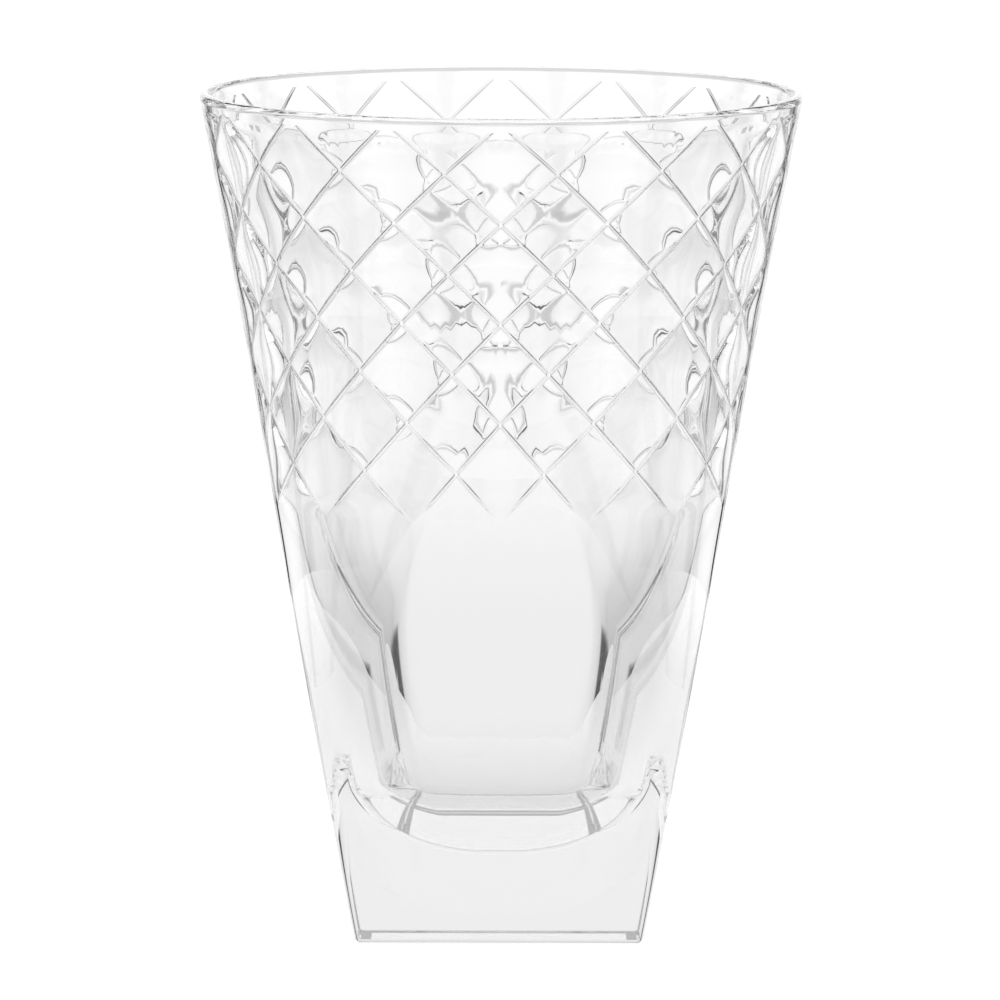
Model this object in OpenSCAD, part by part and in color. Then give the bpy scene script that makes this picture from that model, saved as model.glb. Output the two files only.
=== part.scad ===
// Clear pressed glass vase: a square foot, a body that opens into a round mouth,
// and a band of raised lozenges round the upper part of the well.
// Units are millimetres. The foot rests on z = 0 and the axis of the vase is Z.

/* [Body] */
// Full height of the vase
body_h = 250; // [200:1:300]
// Side of the square foot, across its flats
foot_side = 85; // [70:1:100]
// Diameter of the body just under the lip
mouth_d = 179; // [150:1:220]
// Radius of the foot's upright corners
foot_corner_r = 1.5; // [0.8:0.1:8]
// Width of the small bevel round the underside
foot_bevel = 1.2; // [0.4:0.1:3]
// Height at which the square body has become fully round
round_z = 200; // [150:5:230]

/* [Well] */
// Thickness of solid glass under the well
floor_t = 26; // [15:1:40]
// Height of the bowl in which the well ends
bowl_h = 23; // [15:1:30]
// Thickness of the wall just under the lip
wall_top_t = 4; // [3:0.1:6]
// Thickness of the flat wall just above the foot
wall_low_t = 7.5; // [5:0.1:12]
// Radius of the well's upright corners, low down
well_corner_r = 22; // [8:0.5:30]

/* [Lozenge band] */
// Number of lozenges round the vase
lozenge_count = 16; // [12:2:18]
// Number of rows of crossings down the band
lozenge_rows = 8; // [4:2:10]
// Height from one row of crossings to the next
row_h = 15; // [11:0.5:17]
// How far a lozenge's middle stands out from the lines round it
lozenge_t = 0.9; // [0.2:0.1:1.5]

/* [Lip] */
// Height of the lip above the lozenge band
lip_h = 4; // [3:0.5:8]

/* [Hidden] */

lip_z = body_h - lip_h;
foot_half = foot_side / 2;
mouth_r = mouth_d / 2;
wall_slope = (mouth_r - foot_half) / lip_z;
well_top_r = mouth_r - wall_top_t;
// The wall leans out by this angle, and its rounded edge is as wide as the wall is thick.
lean_a = atan(wall_slope);
lip_round_r = wall_top_t / 2 * cos(lean_a);
// The foot takes in the bowl, and the lower wall stands on it.
bowl_top_z = floor_t + bowl_h;
// Share of the well's width left flat in the middle of the bowl.
bowl_flat = 0.1;
// How slowly the outside's corners open at first, and how softly the well's corners follow them.
round_power = 1.2;
corner_blend = 7;

// Steps round one quarter of a ring: a half of each flat, and the corner's arc.
flat_steps = 3;
arc_steps = 14;

// The lozenge band is divided so that every line of the lattice runs through its points.
steps_per_cell = 4;
cell_steps = 2 * steps_per_cell;
band_steps = lozenge_count * cell_steps;
ring_h = row_h / steps_per_cell;
// The topmost row of crossings lies just inside the lip, and the lowest where the band begins.
lattice_top_z = body_h - 1.5;
band_z = lattice_top_z - lozenge_rows * row_h;
// Height over which the lozenges fade out at the bottom of the band, and under the lip.
fade_low_h = 10;
fade_top_h = 5;

function mix(a, b, t) = a + (b - a) * t;
function clamp01(t) = max(0, min(1, t));
function smooth(t) = let(c = clamp01(t)) c * c * (3 - 2 * c);

// Outside of the body: a square whose tight corners open slowly at first, into a full circle.
function out_half(z) = foot_half + wall_slope * z;
function out_corner(z) =
    out_half(z) * mix(foot_corner_r / foot_half, 1, pow(smooth(z / round_z), round_power));

// Inside: the wall thins upwards, and the corners follow the outside's once those are wide enough.
function wall_t(z) = mix(wall_low_t, wall_top_t, z / lip_z);
function well_half(z) = out_half(z) - wall_t(z);
function well_corner(z) =
    let(part = (out_corner(z) - wall_t(z) - well_corner_r) / 2)
    min(well_half(z), well_corner_r + part + sqrt(part * part + corner_blend * corner_blend));
// Share of its width that the well keeps in the bowl, at an angle up from the bowl's middle.
function bowl_share(a) = mix(bowl_flat, 1, sin(a));

// Points of a square of half width h with corners of radius r, once round.
function quarter(h, r, turn) = [
    for (i = [0:arc_steps + 2 * flat_steps - 1])
        let(
            on_first = i < flat_steps,
            on_arc = i >= flat_steps && i <= flat_steps + arc_steps,
            a = on_first ? 0 : on_arc ? 90 * (i - flat_steps) / arc_steps : 90,
            f = h - r,
            s = on_first ? i / flat_steps
              : on_arc ? 1
              : 1 - (i - flat_steps - arc_steps) / flat_steps,
            x = on_first ? h : on_arc ? f + r * cos(a) : f * s,
            y = on_first ? f * s : on_arc ? f + r * sin(a) : h
        )
        [x * cos(turn) - y * sin(turn), x * sin(turn) + y * cos(turn)]
];
function section(h, r) = [for (k = [0:3]) each quarter(h, r, 90 * k)];
function lift(points, z) = [for (p = points) [p[0], p[1], z]];

// Distance from the axis to the edge of a rounded square, at angle a.
function square_reach(h, r, a) =
    let(
        b = abs((a % 90 + 90) % 90 - 45),
        x = cos(45 - b),
        y = sin(45 - b),
        f = h - r,
        dot = f * (x + y),
        on_flat = h * y / x <= f
    )
    on_flat ? h / x : dot + sqrt(max(0, dot * dot - 2 * f * f + r * r));

// Height of the lozenge relief at u half-columns round and height z.
function lozenge(u, z) =
    let(
        v = (lattice_top_z - z) / row_h,
        p = 2 * (((u + v) / 2) % 1) - 1,
        q = 2 * (((u - v) / 2 + lozenge_count) % 1) - 1,
        fade = smooth((z - band_z) / fade_low_h) * smooth((lip_z - z) / fade_top_h)
    )
    lozenge_t * (1 - p * p) * (1 - q * q) * fade;

// Two triangles on each cell between two rings: corners a and b on the first, d and c on the next.
function cell(a, b, c, d, cut_bd) = cut_bd ? [[a, d, b], [b, d, c]] : [[a, d, c], [a, c, b]];

// A solid over a stack of rings that all have n points, with a flat base and a flat lid.
module solid_stack(rings) {
    n = len(rings[0]);
    count = len(rings);
    base = n * count;
    lid = base + 1;
    top = n * (count - 1);
    polyhedron(
        points = concat(
            [for (r = rings) each r],
            [[0, 0, rings[0][0][2]], [0, 0, rings[count - 1][0][2]]]
        ),
        faces = [
            for (i = [0:n - 1])
                let(next = (i + 1) % n)
                each concat(
                    [[base, i, next], [lid, top + next, top + i]],
                    [
                        for (j = [0:count - 2])
                            let(low = j * n, high = low + n)
                            each cell(low + i, low + next, high + next, high + i, false)
                    ]
                )
        ],
        convexity = 4
    );
}

// A wall whose skin goes up the outer rings, over, down the inner rings and back.
// Where it has a lattice, the inner cells are cut along the lattice's lines.
module wall_stack(outer, inner, lattice = false) {
    n = len(outer[0]);
    rings = concat(outer, [for (j = [len(inner) - 1:-1:0]) inner[j]]);
    count = len(rings);
    polyhedron(
        points = [for (r = rings) each r],
        faces = [
            for (j = [0:count - 1])
                for (i = [0:n - 1])
                    let(
                        this = j * n,
                        after = ((j + 1) % count) * n,
                        next = (i + 1) % n,
                        level = count - 2 - j,
                        on_line = (i + cell_steps * count - level) % cell_steps == 0,
                        cut_bd = lattice && j >= len(outer) && on_line
                    )
                    each cell(this + i, this + next, after + next, after + i, cut_bd)
        ],
        convexity = 8
    );
}

// Heights from z0 to z1 in n equal steps.
function levels(z0, z1, n) = [for (i = [0:n]) mix(z0, z1, i / n)];

// A ring of the band at height z: its distance from the axis is reach, given by the angle.
function band_ring(half, corner, z, relief) = [
    for (i = [0:band_steps - 1])
        let(
            a = 360 * i / band_steps,
            d = square_reach(half, corner, a) - relief * lozenge(i / steps_per_cell, z)
        )
        [d * cos(a), d * sin(a), z]
];

module foot_block() {
    bowl_steps = 10;
    color([0.86, 0.9, 0.92, 0.5])
    solid_stack(concat(
        [lift(section(out_half(0) - foot_bevel, foot_corner_r), 0)],
        [
            for (z = levels(foot_bevel, bowl_top_z, 4))
                lift(section(out_half(z), out_corner(z)), z)
        ],
        [
            for (i = [bowl_steps:-1:0])
                let(
                    a = 90 * i / bowl_steps,
                    z = bowl_top_z - bowl_h * cos(a),
                    share = bowl_share(a)
                )
                lift(section(well_half(z) * share, well_corner(z) * share), z)
        ]
    ));
}

module lower_wall() {
    color([0.8, 0.86, 0.9, 0.5])
    wall_stack(
        [for (z = levels(bowl_top_z, band_z, 8)) lift(section(out_half(z), out_corner(z)), z)],
        [for (z = levels(bowl_top_z, band_z, 8)) lift(section(well_half(z), well_corner(z)), z)]
    );
}

module diamond_band() {
    top_ring = floor((lip_z - band_z) / ring_h - 0.1);
    inner_levels = concat([for (k = [0:top_ring]) band_z + k * ring_h], [lip_z]);
    color([0.74, 0.83, 0.9, 0.5])
    wall_stack(
        [for (z = levels(band_z, lip_z, 8)) band_ring(out_half(z), out_corner(z), z, 0)],
        [for (z = inner_levels) band_ring(well_half(z), well_corner(z), z, 1)],
        lattice = true
    );
}

// Cross-section of the lip: the leaning wall, ended by half a circle square across it.
module lip_profile() {
    round_steps = 16;
    middle = [
        (mouth_r + well_top_r) / 2 + wall_slope * (body_h - lip_round_r - lip_z),
        body_h - lip_round_r
    ];
    polygon(concat(
        [[well_top_r, lip_z], [mouth_r, lip_z]],
        [
            for (i = [0:round_steps])
                let(a = 180 * i / round_steps - lean_a)
                middle + lip_round_r * [cos(a), sin(a)]
        ]
    ));
}

module rim_lip() {
    color([0.88, 0.93, 0.96, 0.5])
    rotate_extrude($fn = 180) lip_profile();
}

foot_block();
lower_wall();
diamond_band();
rim_lip();
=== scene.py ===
"""Clear pressed-glass vase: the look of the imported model, in metres, in the model's own frame."""

import math

import bmesh
import bpy
import numpy as np
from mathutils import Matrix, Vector


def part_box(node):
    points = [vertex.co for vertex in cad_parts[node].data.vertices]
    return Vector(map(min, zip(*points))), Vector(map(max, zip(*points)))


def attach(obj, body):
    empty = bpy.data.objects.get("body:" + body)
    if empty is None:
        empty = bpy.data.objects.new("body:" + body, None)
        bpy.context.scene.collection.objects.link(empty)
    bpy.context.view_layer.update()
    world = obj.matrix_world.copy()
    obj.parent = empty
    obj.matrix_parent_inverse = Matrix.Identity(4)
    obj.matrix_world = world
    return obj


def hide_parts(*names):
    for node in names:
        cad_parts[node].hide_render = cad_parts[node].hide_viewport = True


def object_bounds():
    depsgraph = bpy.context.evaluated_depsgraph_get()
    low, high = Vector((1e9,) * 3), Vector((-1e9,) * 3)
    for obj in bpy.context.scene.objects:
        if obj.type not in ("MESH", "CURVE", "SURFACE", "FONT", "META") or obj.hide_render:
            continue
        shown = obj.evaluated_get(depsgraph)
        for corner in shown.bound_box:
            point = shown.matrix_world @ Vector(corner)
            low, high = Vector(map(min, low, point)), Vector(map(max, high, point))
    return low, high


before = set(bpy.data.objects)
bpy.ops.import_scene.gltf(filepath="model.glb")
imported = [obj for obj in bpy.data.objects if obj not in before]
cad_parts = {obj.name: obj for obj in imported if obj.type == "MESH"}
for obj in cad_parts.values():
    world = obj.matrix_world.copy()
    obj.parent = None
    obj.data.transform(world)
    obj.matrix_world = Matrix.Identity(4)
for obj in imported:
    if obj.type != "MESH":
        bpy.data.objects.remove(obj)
cad_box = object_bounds()

# ---------------------------------------------------------------- sizes from the frame
BODY_H = cad_box[1][2]
LIP_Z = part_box("rim_lip")[0][2]
BAND_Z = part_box("diamond_band")[0][2]
BOWL_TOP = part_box("foot_block")[1][2]
MOUTH_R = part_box("diamond_band")[1][0]
BOWL_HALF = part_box("foot_block")[1][0]
LEAN = (MOUTH_R - BOWL_HALF) / (LIP_Z - BOWL_TOP)
FOOT_HALF = BOWL_HALF - LEAN * BOWL_TOP

# ---------------------------------------------------------------- sizes of the glass
# The outside: its corners at the foot, the bevel, and how its corners open up to ROUND_Z.
FOOT_CORNER_R = 0.0015
FOOT_BEVEL = 0.0012
ROUND_Z = 0.200
ROUND_POWER = 1.2
# The well: the wall's thickness at the lip and at the foot, the corners, and the bowl.
WALL_TOP = 0.004
WALL_LOW = 0.0075
WELL_CORNER_R = 0.022
CORNER_BLEND = 0.007
BOWL_H = 0.023
BOWL_FLAT = 0.1
# The lattice: lozenges round the vase, rows of crossings, and where the top row lies.
LOZENGES = 16
ROW_H = 0.015
LATTICE_TOP = BODY_H - 0.0015
# Height of a lozenge's middle, depth of the lines, and their width as a share of a lozenge.
PILLOW = 0.0009
GROOVE = 0.0003
GROOVE_W = 0.018
# Height over which the lattice starts at the bottom, and the lozenges end under the lip.
FADE_LOW = 0.010
FADE_TOP = 0.005

# ---------------------------------------------------------------- how finely it is meshed
# Round a quarter of a ring: half a flat, and the corner's arc.
FLAT_STEPS = 8
ARC_STEPS = 48
# Up the skins: round the bevel, up the foot, round the bowl, and up the two walls.
BEVEL_STEPS = 6
FOOT_RINGS = 24
BOWL_STEPS = 48
WALL_RINGS = 48
BAND_RINGS = 56
# Up each straight side of the lip, and over its round top.
LIP_STEPS = 3
LIP_RINGS = 33
# Across half a lozenge: close together beside a line, wider apart towards the middle.
LINE_STEPS = (0.0, 0.007, 0.014, 0.022, 0.032, 0.048, 0.075, 0.12, 0.19, 0.29, 0.39, 0.5)
CELL_STEPS = LINE_STEPS + tuple(1 - s for s in reversed(LINE_STEPS[1:-1]))


def smooth(t):
    t = np.clip(t, 0.0, 1.0)
    return t * t * (3 - 2 * t)


def out_half(z):
    """Half the outside width across the flats at height z."""
    return FOOT_HALF + LEAN * z


def out_corner(z):
    """The outside's corners, tight at the foot and opening to a full circle at ROUND_Z."""
    least = FOOT_CORNER_R / FOOT_HALF
    return out_half(z) * (least + (1 - least) * smooth(z / ROUND_Z) ** ROUND_POWER)


def well_half(z):
    """Half the well's width across its flats at height z, above the bowl."""
    return out_half(z) - (WALL_LOW + (WALL_TOP - WALL_LOW) * z / LIP_Z)


def well_corner(z):
    """The well's corners: WELL_CORNER_R low down, in step with the outside's higher up."""
    level = out_corner(z) - (out_half(z) - well_half(z))
    part = (level - WELL_CORNER_R) / 2
    return np.minimum(WELL_CORNER_R + part + np.sqrt(part**2 + CORNER_BLEND**2), well_half(z))


def bowl(z):
    """The share of its width the well keeps at height z, where its bottom is a bowl."""
    up = np.clip((BOWL_TOP - z) / BOWL_H, 0.0, 1.0)
    return BOWL_FLAT + (1 - BOWL_FLAT) * np.sqrt(1 - up**2)


def bevelled(z):
    """The outside half width, with the small bevel round the underside."""
    up = np.maximum(0.0, FOOT_BEVEL - z)
    return out_half(z) - (FOOT_BEVEL - np.sqrt(np.maximum(0.0, FOOT_BEVEL**2 - up**2)))


def quarter():
    """One quarter of a rounded square: where each point's flat corner lies, and its normal."""
    spots, normals = [], []
    for i in range(FLAT_STEPS):
        spots.append((1.0, i / FLAT_STEPS))
        normals.append((1.0, 0.0))
    for i in range(ARC_STEPS + 1):
        a = math.pi / 2 * i / ARC_STEPS
        spots.append((1.0, 1.0))
        normals.append((math.cos(a), math.sin(a)))
    for i in range(1, FLAT_STEPS):
        spots.append((1 - i / FLAT_STEPS, 1.0))
        normals.append((0.0, 1.0))
    return np.array(spots), np.array(normals)


def whole_ring():
    """The quarter four times over, once round."""
    spots, normals = quarter()
    turned = [(spots, normals)]
    for _ in range(3):
        spots = np.column_stack((-spots[:, 1], spots[:, 0]))
        normals = np.column_stack((-normals[:, 1], normals[:, 0]))
        turned.append((spots, normals))
    return np.vstack([t[0] for t in turned]), np.vstack([t[1] for t in turned])


RING_SPOTS, RING_NORMALS = whole_ring()
RING_N = len(RING_SPOTS)


def skin(heights, half, corner, outward):
    """Points and normals of a stack of rounded-square rings.

    outward is 1 for the outside of the glass, and -1 in the well. Where a ring is a full circle,
    its flats have no width, and their points coincide.
    """
    # a small step, over which the slopes are taken
    h = 1e-6
    dot = (RING_SPOTS * RING_NORMALS).sum(axis=1)
    rings, normals = [], []
    for z in heights:
        r = float(corner(z))
        f = float(half(z)) - r
        lean_f = (float(half(z + h) - corner(z + h)) - float(half(z - h) - corner(z - h))) / (2 * h)
        lean_r = float(corner(z + h) - corner(z - h)) / (2 * h)
        flat = f * RING_SPOTS + r * RING_NORMALS
        rings.append(np.column_stack((flat, np.full(RING_N, z))))
        n = np.column_stack((RING_NORMALS, -(lean_f * dot + lean_r)))
        normals.append(outward * n / np.linalg.norm(n, axis=1)[:, None])
    return rings, normals


def reach(half, corner, a):
    """Distance from the axis to a rounded square's edge at angle a, for arrays of each."""
    b = np.abs(np.mod(a, math.pi / 2) - math.pi / 4)
    x, y = np.cos(math.pi / 4 - b), np.sin(math.pi / 4 - b)
    f = half - corner
    dot = f * (x + y)
    on_arc = dot + np.sqrt(np.maximum(0.0, dot * dot - 2 * f * f + corner * corner))
    return np.where(half * y / x <= f, half / x, on_arc)


def relief(a, z):
    """How far the lattice stands in from the plain well at angle a and height z."""
    u = a / (math.pi / LOZENGES)
    v = (LATTICE_TOP - z) / ROW_H
    p, q = np.mod((u + v) / 2, 1.0), np.mod((v - u) / 2, 1.0)
    pillow = (1 - (2 * p - 1) ** 2) * (1 - (2 * q - 1) ** 2)
    near_p, near_q = np.minimum(p, 1 - p), np.minimum(q, 1 - q)
    line = np.exp(-((near_p / GROOVE_W) ** 2)) + np.exp(-((near_q / GROOVE_W) ** 2))
    start = smooth((z - BAND_Z) / FADE_LOW)
    end = smooth((LIP_Z - z) / FADE_TOP)
    return start * (end * PILLOW * pillow - GROOVE * np.minimum(line, 1.0))


def well_reach(a, z):
    """Distance from the axis to the patterned well at angle a and height z."""
    return reach(well_half(z), well_corner(z), a) - relief(a, z)


def well_normal(a, z):
    """The normal of the patterned well, towards the axis."""
    # a small step, over which the slopes are taken
    h = 4e-6
    r = well_reach(a, z)
    turn = (well_reach(a + h / r, z) - well_reach(a - h / r, z)) / (2 * h)
    rise = (well_reach(a, z + h) - well_reach(a, z - h)) / (2 * h)
    n = np.column_stack(
        (np.cos(a) + turn * np.sin(a), np.sin(a) - turn * np.cos(a), -rise)
    )
    return -n / np.linalg.norm(n, axis=1)[:, None]


class Shell:
    """A closed mesh in the making: glass skin, and joint faces where two zones meet."""

    GLASS, JOINT = 0, 1

    def __init__(self):
        self.bm = bmesh.new()
        self.normal = self.bm.verts.layers.float_vector.new("skin_normal")

    def ring(self, points, normals):
        made = []
        for point, normal in zip(points, normals):
            v = self.bm.verts.new(point)
            v[self.normal] = normal
            made.append(v)
        return made

    def join(self, low, high, material=GLASS):
        for i in range(len(low)):
            k = (i + 1) % len(low)
            face = self.bm.faces.new((low[i], low[k], high[k], high[i]))
            face.material_index = material

    def stack(self, rings, normals):
        """A skin over rings from the lowest up. Returns its lowest and highest ring."""
        made = [self.ring(r, n) for r, n in zip(rings, normals)]
        for low, high in zip(made, made[1:]):
            self.join(low, high)
        return made[0], made[-1]

    def fan(self, ring):
        """A flat face inside a ring."""
        z = ring[0].co.z
        middle = self.bm.verts.new((0, 0, z))
        for i in range(len(ring)):
            self.bm.faces.new((ring[i], ring[(i + 1) % len(ring)], middle))

    def band_at(self, z):
        """Fills the open edges at height z with level faces, as a joint.

        At BAND_Z that is the ring between the two edges. At LIP_Z the outer edge has coincident
        points, so the fill passes it over, and leaves a clear disc across the mouth instead.
        """
        edges = [
            e
            for e in self.bm.edges
            if e.is_boundary and all(abs(v.co.z - z) < 1e-6 for v in e.verts)
        ]
        made = bmesh.ops.triangle_fill(self.bm, use_beauty=True, edges=edges, normal=(0, 0, 1))
        for item in made["geom"]:
            if isinstance(item, bmesh.types.BMFace):
                item.material_index = self.JOINT

    def finish(self, name, glass):
        bmesh.ops.recalc_face_normals(self.bm, faces=self.bm.faces)
        mesh = bpy.data.meshes.new(name)
        self.bm.to_mesh(mesh)
        self.bm.free()
        mesh.polygons.foreach_set("use_smooth", [True] * len(mesh.polygons))
        skin_normals = np.zeros(len(mesh.vertices) * 3, dtype=np.float32)
        mesh.attributes["skin_normal"].data.foreach_get("vector", skin_normals)
        skin_normals = skin_normals.reshape(-1, 3)
        corners = np.zeros(len(mesh.loops), dtype=np.int32)
        mesh.loops.foreach_get("vertex_index", corners)
        split = skin_normals[corners]
        # level faces stay flat: the underside, the bottom of the bowl, and where two zones meet
        for face in mesh.polygons:
            if abs(face.normal.z) > 0.9999:
                split[face.loop_start : face.loop_start + face.loop_total] = face.normal
        mesh.normals_split_custom_set(split.tolist())
        mesh.attributes.remove(mesh.attributes["skin_normal"])
        mesh.materials.append(glass)
        mesh.materials.append(JOINT_CLEAR)
        piece = bpy.data.objects.new(name, mesh)
        bpy.context.scene.collection.objects.link(piece)
        return piece


# ---------------------------------------------------------------- materials
# How clear the glass is, from the foot up to the lip: greyer towards the foot, partly the glass's
# own tint where it is thicker and partly painted shade.
# The plain wall's thick corners lose some more, also painted shade, from a face's middle to the
# corner, at these heights.
CLEAR_AND_SHADE_STOPS = ((0.0, 0.80), (0.15, 0.81), (0.22, 0.885), (0.40, 0.885), (0.60, 0.96), (1.0, 0.98))
CORNER_SHADE_STOPS = ((0.0, 0.0), (0.62, 0.0), (0.78, 0.2), (1.0, 0.2))
CORNER_SHADE_WHERE = ((0.0, 0.0), (0.16, 0.0), (0.24, 1.0), (0.31, 1.0), (0.42, 0.0), (1.0, 0.0))
IOR = 1.52
# The pressed surface's unevenness: its height in metres, and how many waves to a metre.
RIPPLE = 0.000004
RIPPLE_SCALE = 38.0


def maths(nodes, links, operation, *values):
    """A maths node on numbers or other nodes' outputs. Returns its output."""
    node = nodes.new("ShaderNodeMath")
    node.operation = operation
    for socket, value in zip(node.inputs, values):
        if isinstance(value, (int, float)):
            socket.default_value = value
        else:
            links.new(value, socket)
    return node.outputs[0]


def ramp(nodes, links, source, stops):
    """A grey ramp through (position, value) stops. Returns its output."""
    node = nodes.new("ShaderNodeValToRGB")
    links.new(source, node.inputs["Fac"])
    elements = node.color_ramp.elements
    for position, _ in stops[1:-1]:
        elements.new(position)
    for element, (position, value) in zip(elements, stops):
        element.position = position
        element.color = (value, value, value, 1)
    return node.outputs["Color"]


def glass_material(name):
    """Clear polished glass, with the faint unevenness that pressing leaves, greyed by painted shade
    towards the foot and at the plain wall's corners.
    """
    material = bpy.data.materials.new(name)
    material.use_nodes = True
    nodes, links = material.node_tree.nodes, material.node_tree.links
    shader = nodes["Principled BSDF"]
    shader.inputs["Roughness"].default_value = 0.0
    shader.inputs["IOR"].default_value = IOR
    shader.inputs["Transmission Weight"].default_value = 1.0
    place = nodes.new("ShaderNodeTexCoord")
    parts = nodes.new("ShaderNodeSeparateXYZ")
    links.new(place.outputs["Object"], parts.inputs[0])
    height = maths(nodes, links, "DIVIDE", parts.outputs["Z"], BODY_H)
    sides = [maths(nodes, links, "ABSOLUTE", parts.outputs[axis]) for axis in ("X", "Y")]
    near = maths(nodes, links, "MINIMUM", *sides)
    far = maths(nodes, links, "MAXIMUM", *sides)
    # painted shade: the glass is greyer towards the foot, and darker still at the plain wall's
    # corners
    corner = ramp(nodes, links, maths(nodes, links, "DIVIDE", near, far), CORNER_SHADE_STOPS)
    where = ramp(nodes, links, height, CORNER_SHADE_WHERE)
    corner_shade = maths(nodes, links, "MULTIPLY", corner, where)
    clear = maths(nodes, links, "SUBTRACT", ramp(nodes, links, height, CLEAR_AND_SHADE_STOPS), corner_shade)
    links.new(clear, shader.inputs["Base Color"])
    noise = nodes.new("ShaderNodeTexNoise")
    noise.inputs["Scale"].default_value = RIPPLE_SCALE
    noise.inputs["Detail"].default_value = 1.0
    bump = nodes.new("ShaderNodeBump")
    bump.inputs["Strength"].default_value = 1.0
    bump.inputs["Distance"].default_value = RIPPLE
    links.new(place.outputs["Object"], noise.inputs["Vector"])
    links.new(noise.outputs["Fac"], bump.inputs["Height"])
    links.new(bump.outputs["Normal"], shader.inputs["Normal"])
    return material


def joint_material():
    """Where two zones of the one glass meet, light passes straight on."""
    material = bpy.data.materials.new("joint_clear")
    material.use_nodes = True
    nodes, links = material.node_tree.nodes, material.node_tree.links
    nodes.remove(nodes["Principled BSDF"])
    clear = nodes.new("ShaderNodeBsdfTransparent")
    links.new(clear.outputs[0], nodes["Material Output"].inputs["Surface"])
    return material


JOINT_CLEAR = joint_material()


# ---------------------------------------------------------------- the four zones of the vase
def curved(z):
    """Half the well's width across its flats, in the bowl as well."""
    return well_half(z) * bowl(z)


def curved_corner(z):
    """The radius of the well's corners, in the bowl as well."""
    return well_corner(z) * bowl(z)


def foot_block():
    """The thick foot, its bevel, and the bowl in its top."""
    shell = Shell()
    bevel = [FOOT_BEVEL * (1 - math.cos(math.pi / 2 * i / BEVEL_STEPS)) for i in range(BEVEL_STEPS)]
    heights = bevel + list(np.linspace(FOOT_BEVEL, BOWL_TOP, FOOT_RINGS))
    bottom, top = shell.stack(*skin(heights, bevelled, out_corner, 1))
    shell.fan(bottom)
    turns = [math.pi / 2 * i / BOWL_STEPS for i in range(BOWL_STEPS + 1)]
    inner = [BOWL_TOP - BOWL_H * math.cos(turn) for turn in turns]
    floor, edge = shell.stack(*skin(inner, curved, curved_corner, -1))
    shell.fan(floor)
    shell.join(top, edge, shell.JOINT)
    return shell.finish("foot_block_glass", glass_material("foot_glass"))


def lower_wall():
    """The plain wall between the foot and the lattice."""
    shell = Shell()
    heights = np.linspace(BOWL_TOP, BAND_Z, WALL_RINGS)
    low_out, high_out = shell.stack(*skin(heights, out_half, out_corner, 1))
    low_in, high_in = shell.stack(*skin(heights, well_half, well_corner, -1))
    shell.join(low_out, low_in, shell.JOINT)
    shell.join(high_out, high_in, shell.JOINT)
    return shell.finish("lower_wall_glass", glass_material("wall_glass"))


def lattice_skin(shell):
    """The patterned inside: every lozenge is a grid whose edges run along the lattice's lines."""
    steps = len(CELL_STEPS)
    rows = (LATTICE_TOP - BAND_Z) / ROW_H
    turns = LOZENGES * steps
    spots = {}

    def spot(i, k):
        u = CELL_STEPS[i % steps] + i // steps - CELL_STEPS[k % steps] - k // steps
        v = CELL_STEPS[i % steps] + i // steps + CELL_STEPS[k % steps] + k // steps
        key = ((i - k) % (2 * turns), i + k)
        if key not in spots:
            a, z = u * math.pi / LOZENGES, LATTICE_TOP - v * ROW_H
            spots[key] = (shell.bm.verts.new((a, 0, z)), a, z)
        return spots[key][0]

    for column in range(LOZENGES):
        for row in range(-1, int(rows) + 1):
            # the lozenge whose top crossing is at u = 2 column + (row odd), v = row
            i0 = (column + (row + (row % 2)) // 2) * steps
            k0 = ((row - (row % 2)) // 2 - column) * steps
            for i in range(i0, i0 + steps):
                for k in range(k0, k0 + steps):
                    corners = [spot(i, k), spot(i + 1, k), spot(i + 1, k + 1), spot(i, k + 1)]
                    shell.bm.faces.new(corners)
    angles = np.array([s[1] for s in spots.values()])
    levels = np.array([s[2] for s in spots.values()])
    r = well_reach(angles, levels)
    for (vert, a, z), d in zip(spots.values(), r):
        vert.co = (d * math.cos(a), d * math.sin(a), z)
    for z, side in ((BAND_Z, 1), (LIP_Z, -1)):
        everything = list(shell.bm.verts) + list(shell.bm.edges) + list(shell.bm.faces)
        bmesh.ops.bisect_plane(
            shell.bm, geom=everything, dist=1e-7, plane_co=(0, 0, z), plane_no=(0, 0, -side),
            clear_outer=True,
        )
    points = np.array([v.co for v in shell.bm.verts])
    angles = np.arctan2(points[:, 1], points[:, 0])
    normals = well_normal(angles, points[:, 2])
    for vert, normal in zip(shell.bm.verts, normals):
        vert[shell.normal] = normal


def diamond_band():
    """The wall with the lattice on its inside."""
    shell = Shell()
    lattice_skin(shell)
    shell.stack(*skin(np.linspace(BAND_Z, LIP_Z, BAND_RINGS), out_half, out_corner, 1))
    shell.band_at(BAND_Z)
    shell.band_at(LIP_Z)
    return shell.finish("diamond_band_glass", glass_material("cut_glass"))


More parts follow.
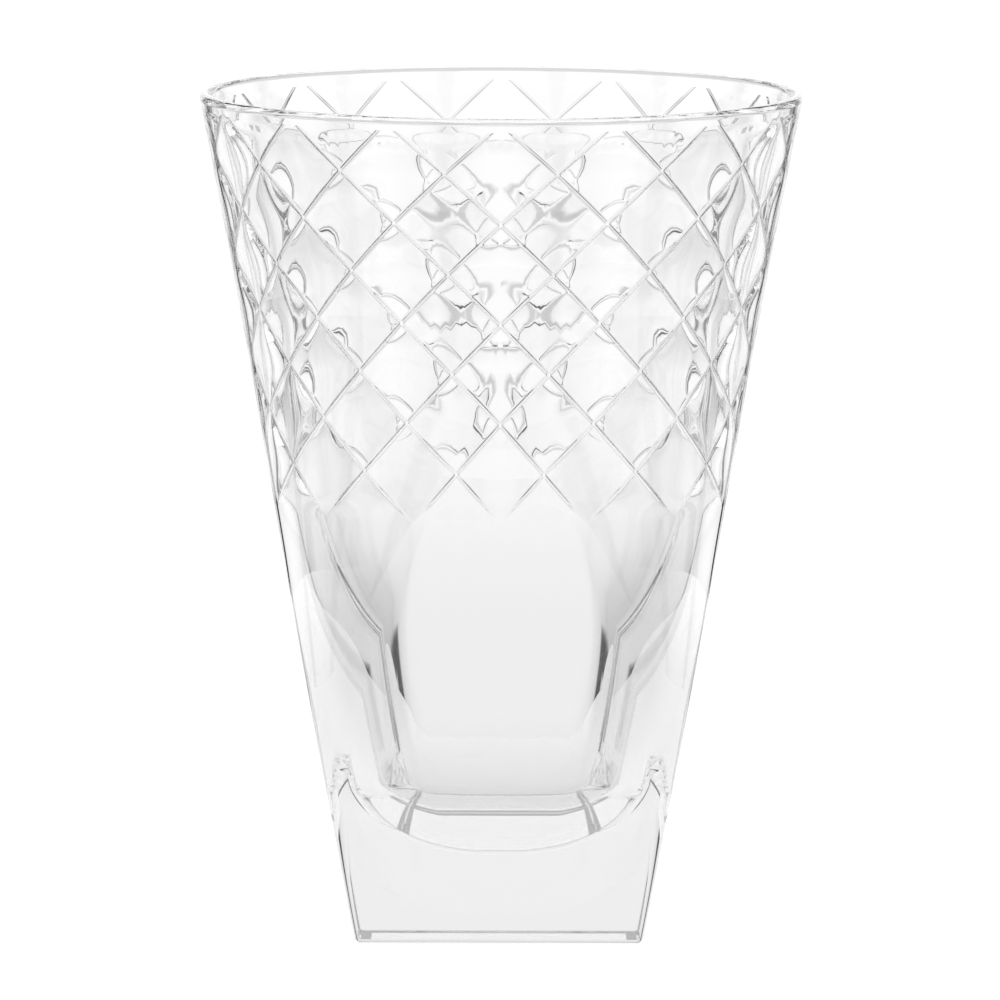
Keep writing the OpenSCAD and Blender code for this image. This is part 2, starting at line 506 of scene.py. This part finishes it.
def rim_lip():
    """The leaning wall's end, rounded off by half a circle square across it."""
    shell = Shell()
    lean = math.atan(LEAN)
    r = WALL_TOP / 2 * math.cos(lean)
    cx = MOUTH_R - WALL_TOP / 2 + LEAN * (BODY_H - r - LIP_Z)
    cz = BODY_H - r
    profile = []
    for t in np.linspace(0, 1, LIP_STEPS + 1)[:-1]:
        z = LIP_Z + t * (cz - r * math.sin(lean) - LIP_Z)
        profile.append((MOUTH_R + LEAN * (z - LIP_Z), z, -lean))
    for a in np.linspace(-lean, math.pi - lean, LIP_RINGS):
        profile.append((cx + r * math.cos(a), cz + r * math.sin(a), a))
    for t in np.linspace(0, 1, LIP_STEPS + 1)[1:]:
        z = (cz + r * math.sin(lean)) + t * (LIP_Z - cz - r * math.sin(lean))
        profile.append((MOUTH_R - WALL_TOP + LEAN * (z - LIP_Z), z, math.pi - lean))
    rings, normals = [], []
    for d, z, a in profile:
        rings.append(np.column_stack((d * RING_NORMALS, np.full(RING_N, z))))
        across = math.cos(a) * RING_NORMALS
        normals.append(np.column_stack((across, np.full(RING_N, math.sin(a)))))
    low_out, low_in = shell.stack(rings, normals)
    shell.join(low_out, low_in, shell.JOINT)
    return shell.finish("rim_lip_glass", glass_material("lip_glass"))


for make, node, slot in (
    (foot_block, "foot_block", "foot_glass"),
    (lower_wall, "lower_wall", "wall_glass"),
    (diamond_band, "diamond_band", "cut_glass"),
    (rim_lip, "rim_lip", "lip_glass"),
):
    piece = make()
    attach(piece, "root")
    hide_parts(node)


# ---------------------------------------------------------------- floor, light and camera
FLOOR_R = 0.35
FLOOR_GREY = 0.9
# The floor glows a little, so that it stays evenly white; under the foot the glow is lower, a
# painted shadow, least at the footprint's edge.
OPEN_GLOW, MIDDLE_SHADOW_GLOW, EDGE_SHADOW_GLOW = 0.64, 0.38, 0.20
# The half width of the painted shadow, which the foot covers, and the part of it that counts as the
# middle.
SHADOW_HALF = FOOT_HALF - 0.001
SHADOW_MIDDLE = 0.92 * SHADOW_HALF
# The studio's brightness, and how many dark flags stand round it.
STUDIO = 1.08
FLAGS = 8
# Light across the flags, from the middle of a flag to the middle of a gap.
FLAG_STOPS = ((0.0, 0.0), (0.04, 0.02), (0.12, 0.82), (1.0, 1.0))
# Light from straight down, through the horizon at a half, to straight up: square on, and on the
# diagonals, where the white reaches lower.
SQUARE_STOPS = ((0.0, 0.68), (0.34, 0.68), (0.41, 1.0), (0.60, 0.98), (0.70, 0.8), (1.0, 0.6))
DIAGONAL_STOPS = ((0.0, 0.6), (0.235, 0.6), (0.275, 1.0), (0.55, 1.0), (0.62, 0.75), (1.0, 0.6))
# The camera: its lens in millimetres, how far off and how high it stands, what height it is
# aimed at as a share of the vase's, and its small roll.
LENS = 433
DISTANCE = 3.6
RISE = math.radians(7.1)
AIM = 0.5095
ROLL = math.radians(0.16)
# How often a ray may pass into or out of glass, bounce off it, and cross where two zones meet.
BOUNCES = 32
GLOSSY_BOUNCES = 24
JOINT_BOUNCES = 64


def pale_floor():
    """A round pale table top under the vase, with a painted shadow under the foot."""
    bpy.ops.mesh.primitive_circle_add(
        vertices=96, radius=FLOOR_R, fill_type="TRIFAN", location=(0, 0, 0)
    )
    floor = bpy.context.object
    floor.name = "pale_floor"
    material = bpy.data.materials.new("pale_floor")
    material.use_nodes = True
    nodes, links = material.node_tree.nodes, material.node_tree.links
    shader = nodes["Principled BSDF"]
    shader.inputs["Base Color"].default_value = (FLOOR_GREY, FLOOR_GREY, FLOOR_GREY, 1)
    shader.inputs["Roughness"].default_value = 1.0
    shader.inputs["Specular IOR Level"].default_value = 0.0
    shader.inputs["Emission Color"].default_value = (1, 1, 1, 1)
    place = nodes.new("ShaderNodeTexCoord")
    parts = nodes.new("ShaderNodeSeparateXYZ")
    links.new(place.outputs["Object"], parts.inputs[0])
    sides = [maths(nodes, links, "ABSOLUTE", parts.outputs[axis]) for axis in ("X", "Y")]
    far = maths(nodes, links, "MAXIMUM", *sides)
    # painted shadow: under the foot the floor glows less, and least at the footprint's edge
    clear = maths(nodes, links, "GREATER_THAN", far, SHADOW_HALF)
    middle = maths(nodes, links, "LESS_THAN", far, SHADOW_MIDDLE)
    glow_with_painted_shadow = maths(
        nodes, links, "ADD",
        maths(nodes, links, "MULTIPLY_ADD", clear, OPEN_GLOW - EDGE_SHADOW_GLOW, EDGE_SHADOW_GLOW),
        maths(nodes, links, "MULTIPLY", middle, MIDDLE_SHADOW_GLOW - EDGE_SHADOW_GLOW),
    )
    links.new(glow_with_painted_shadow, shader.inputs["Emission Strength"])
    floor.data.materials.append(material)


def soft_light():
    """A white studio all round, with dark flags that draw the edges of the glass."""
    world = bpy.data.worlds.new("studio")
    bpy.context.scene.world = world
    world.use_nodes = True
    nodes, links = world.node_tree.nodes, world.node_tree.links

    def mix(blend, amount, a, b):
        node = nodes.new("ShaderNodeMix")
        node.data_type = "RGBA"
        node.blend_type = blend
        for socket, value in ((node.inputs[0], amount), (node.inputs[6], a), (node.inputs[7], b)):
            if isinstance(value, (int, float)):
                socket.default_value = value
            else:
                links.new(value, socket)
        return node.outputs[2]

    place = nodes.new("ShaderNodeTexCoord")
    parts = nodes.new("ShaderNodeSeparateXYZ")
    links.new(place.outputs["Generated"], parts.inputs[0])
    turn = maths(nodes, links, "ARCTAN2", parts.outputs["Y"], parts.outputs["X"])
    wave = maths(nodes, links, "COSINE", maths(nodes, links, "MULTIPLY", turn, FLAGS))
    across = ramp(nodes, links, maths(nodes, links, "MULTIPLY_ADD", wave, 0.5, 0.5), FLAG_STOPS)
    level = maths(nodes, links, "MULTIPLY_ADD", parts.outputs["Z"], 0.5, 0.5)
    sectors = maths(nodes, links, "COSINE", maths(nodes, links, "MULTIPLY", turn, 4.0))
    diagonal = maths(nodes, links, "LESS_THAN", sectors, 0.0)
    square_on = ramp(nodes, links, level, SQUARE_STOPS)
    height = mix("MIX", diagonal, square_on, ramp(nodes, links, level, DIAGONAL_STOPS))
    links.new(mix("MULTIPLY", 1.0, across, height), nodes["Background"].inputs["Color"])
    nodes["Background"].inputs["Strength"].default_value = STUDIO


def camera():
    """A long lens at the photograph's angle, looking down a little on the vase."""
    data = bpy.data.cameras.new("camera")
    data.lens = LENS
    data.clip_start, data.clip_end = 0.5, 200
    eye = bpy.data.objects.new("camera", data)
    bpy.context.scene.collection.objects.link(eye)
    target = Vector((0, 0, BODY_H * AIM))
    eye.location = target + DISTANCE * Vector((0, -math.cos(RISE), math.sin(RISE)))
    eye.rotation_euler = (target - eye.location).to_track_quat("-Z", "Y").to_euler()
    eye.rotation_euler.rotate_axis("Z", ROLL)
    bpy.context.scene.camera = eye


pale_floor()
soft_light()
camera()
scene = bpy.context.scene
scene.view_settings.view_transform = "Standard"
scene.cycles.max_bounces = BOUNCES
scene.cycles.transmission_bounces = BOUNCES
scene.cycles.glossy_bounces = GLOSSY_BOUNCES
scene.cycles.transparent_max_bounces = JOINT_BOUNCES
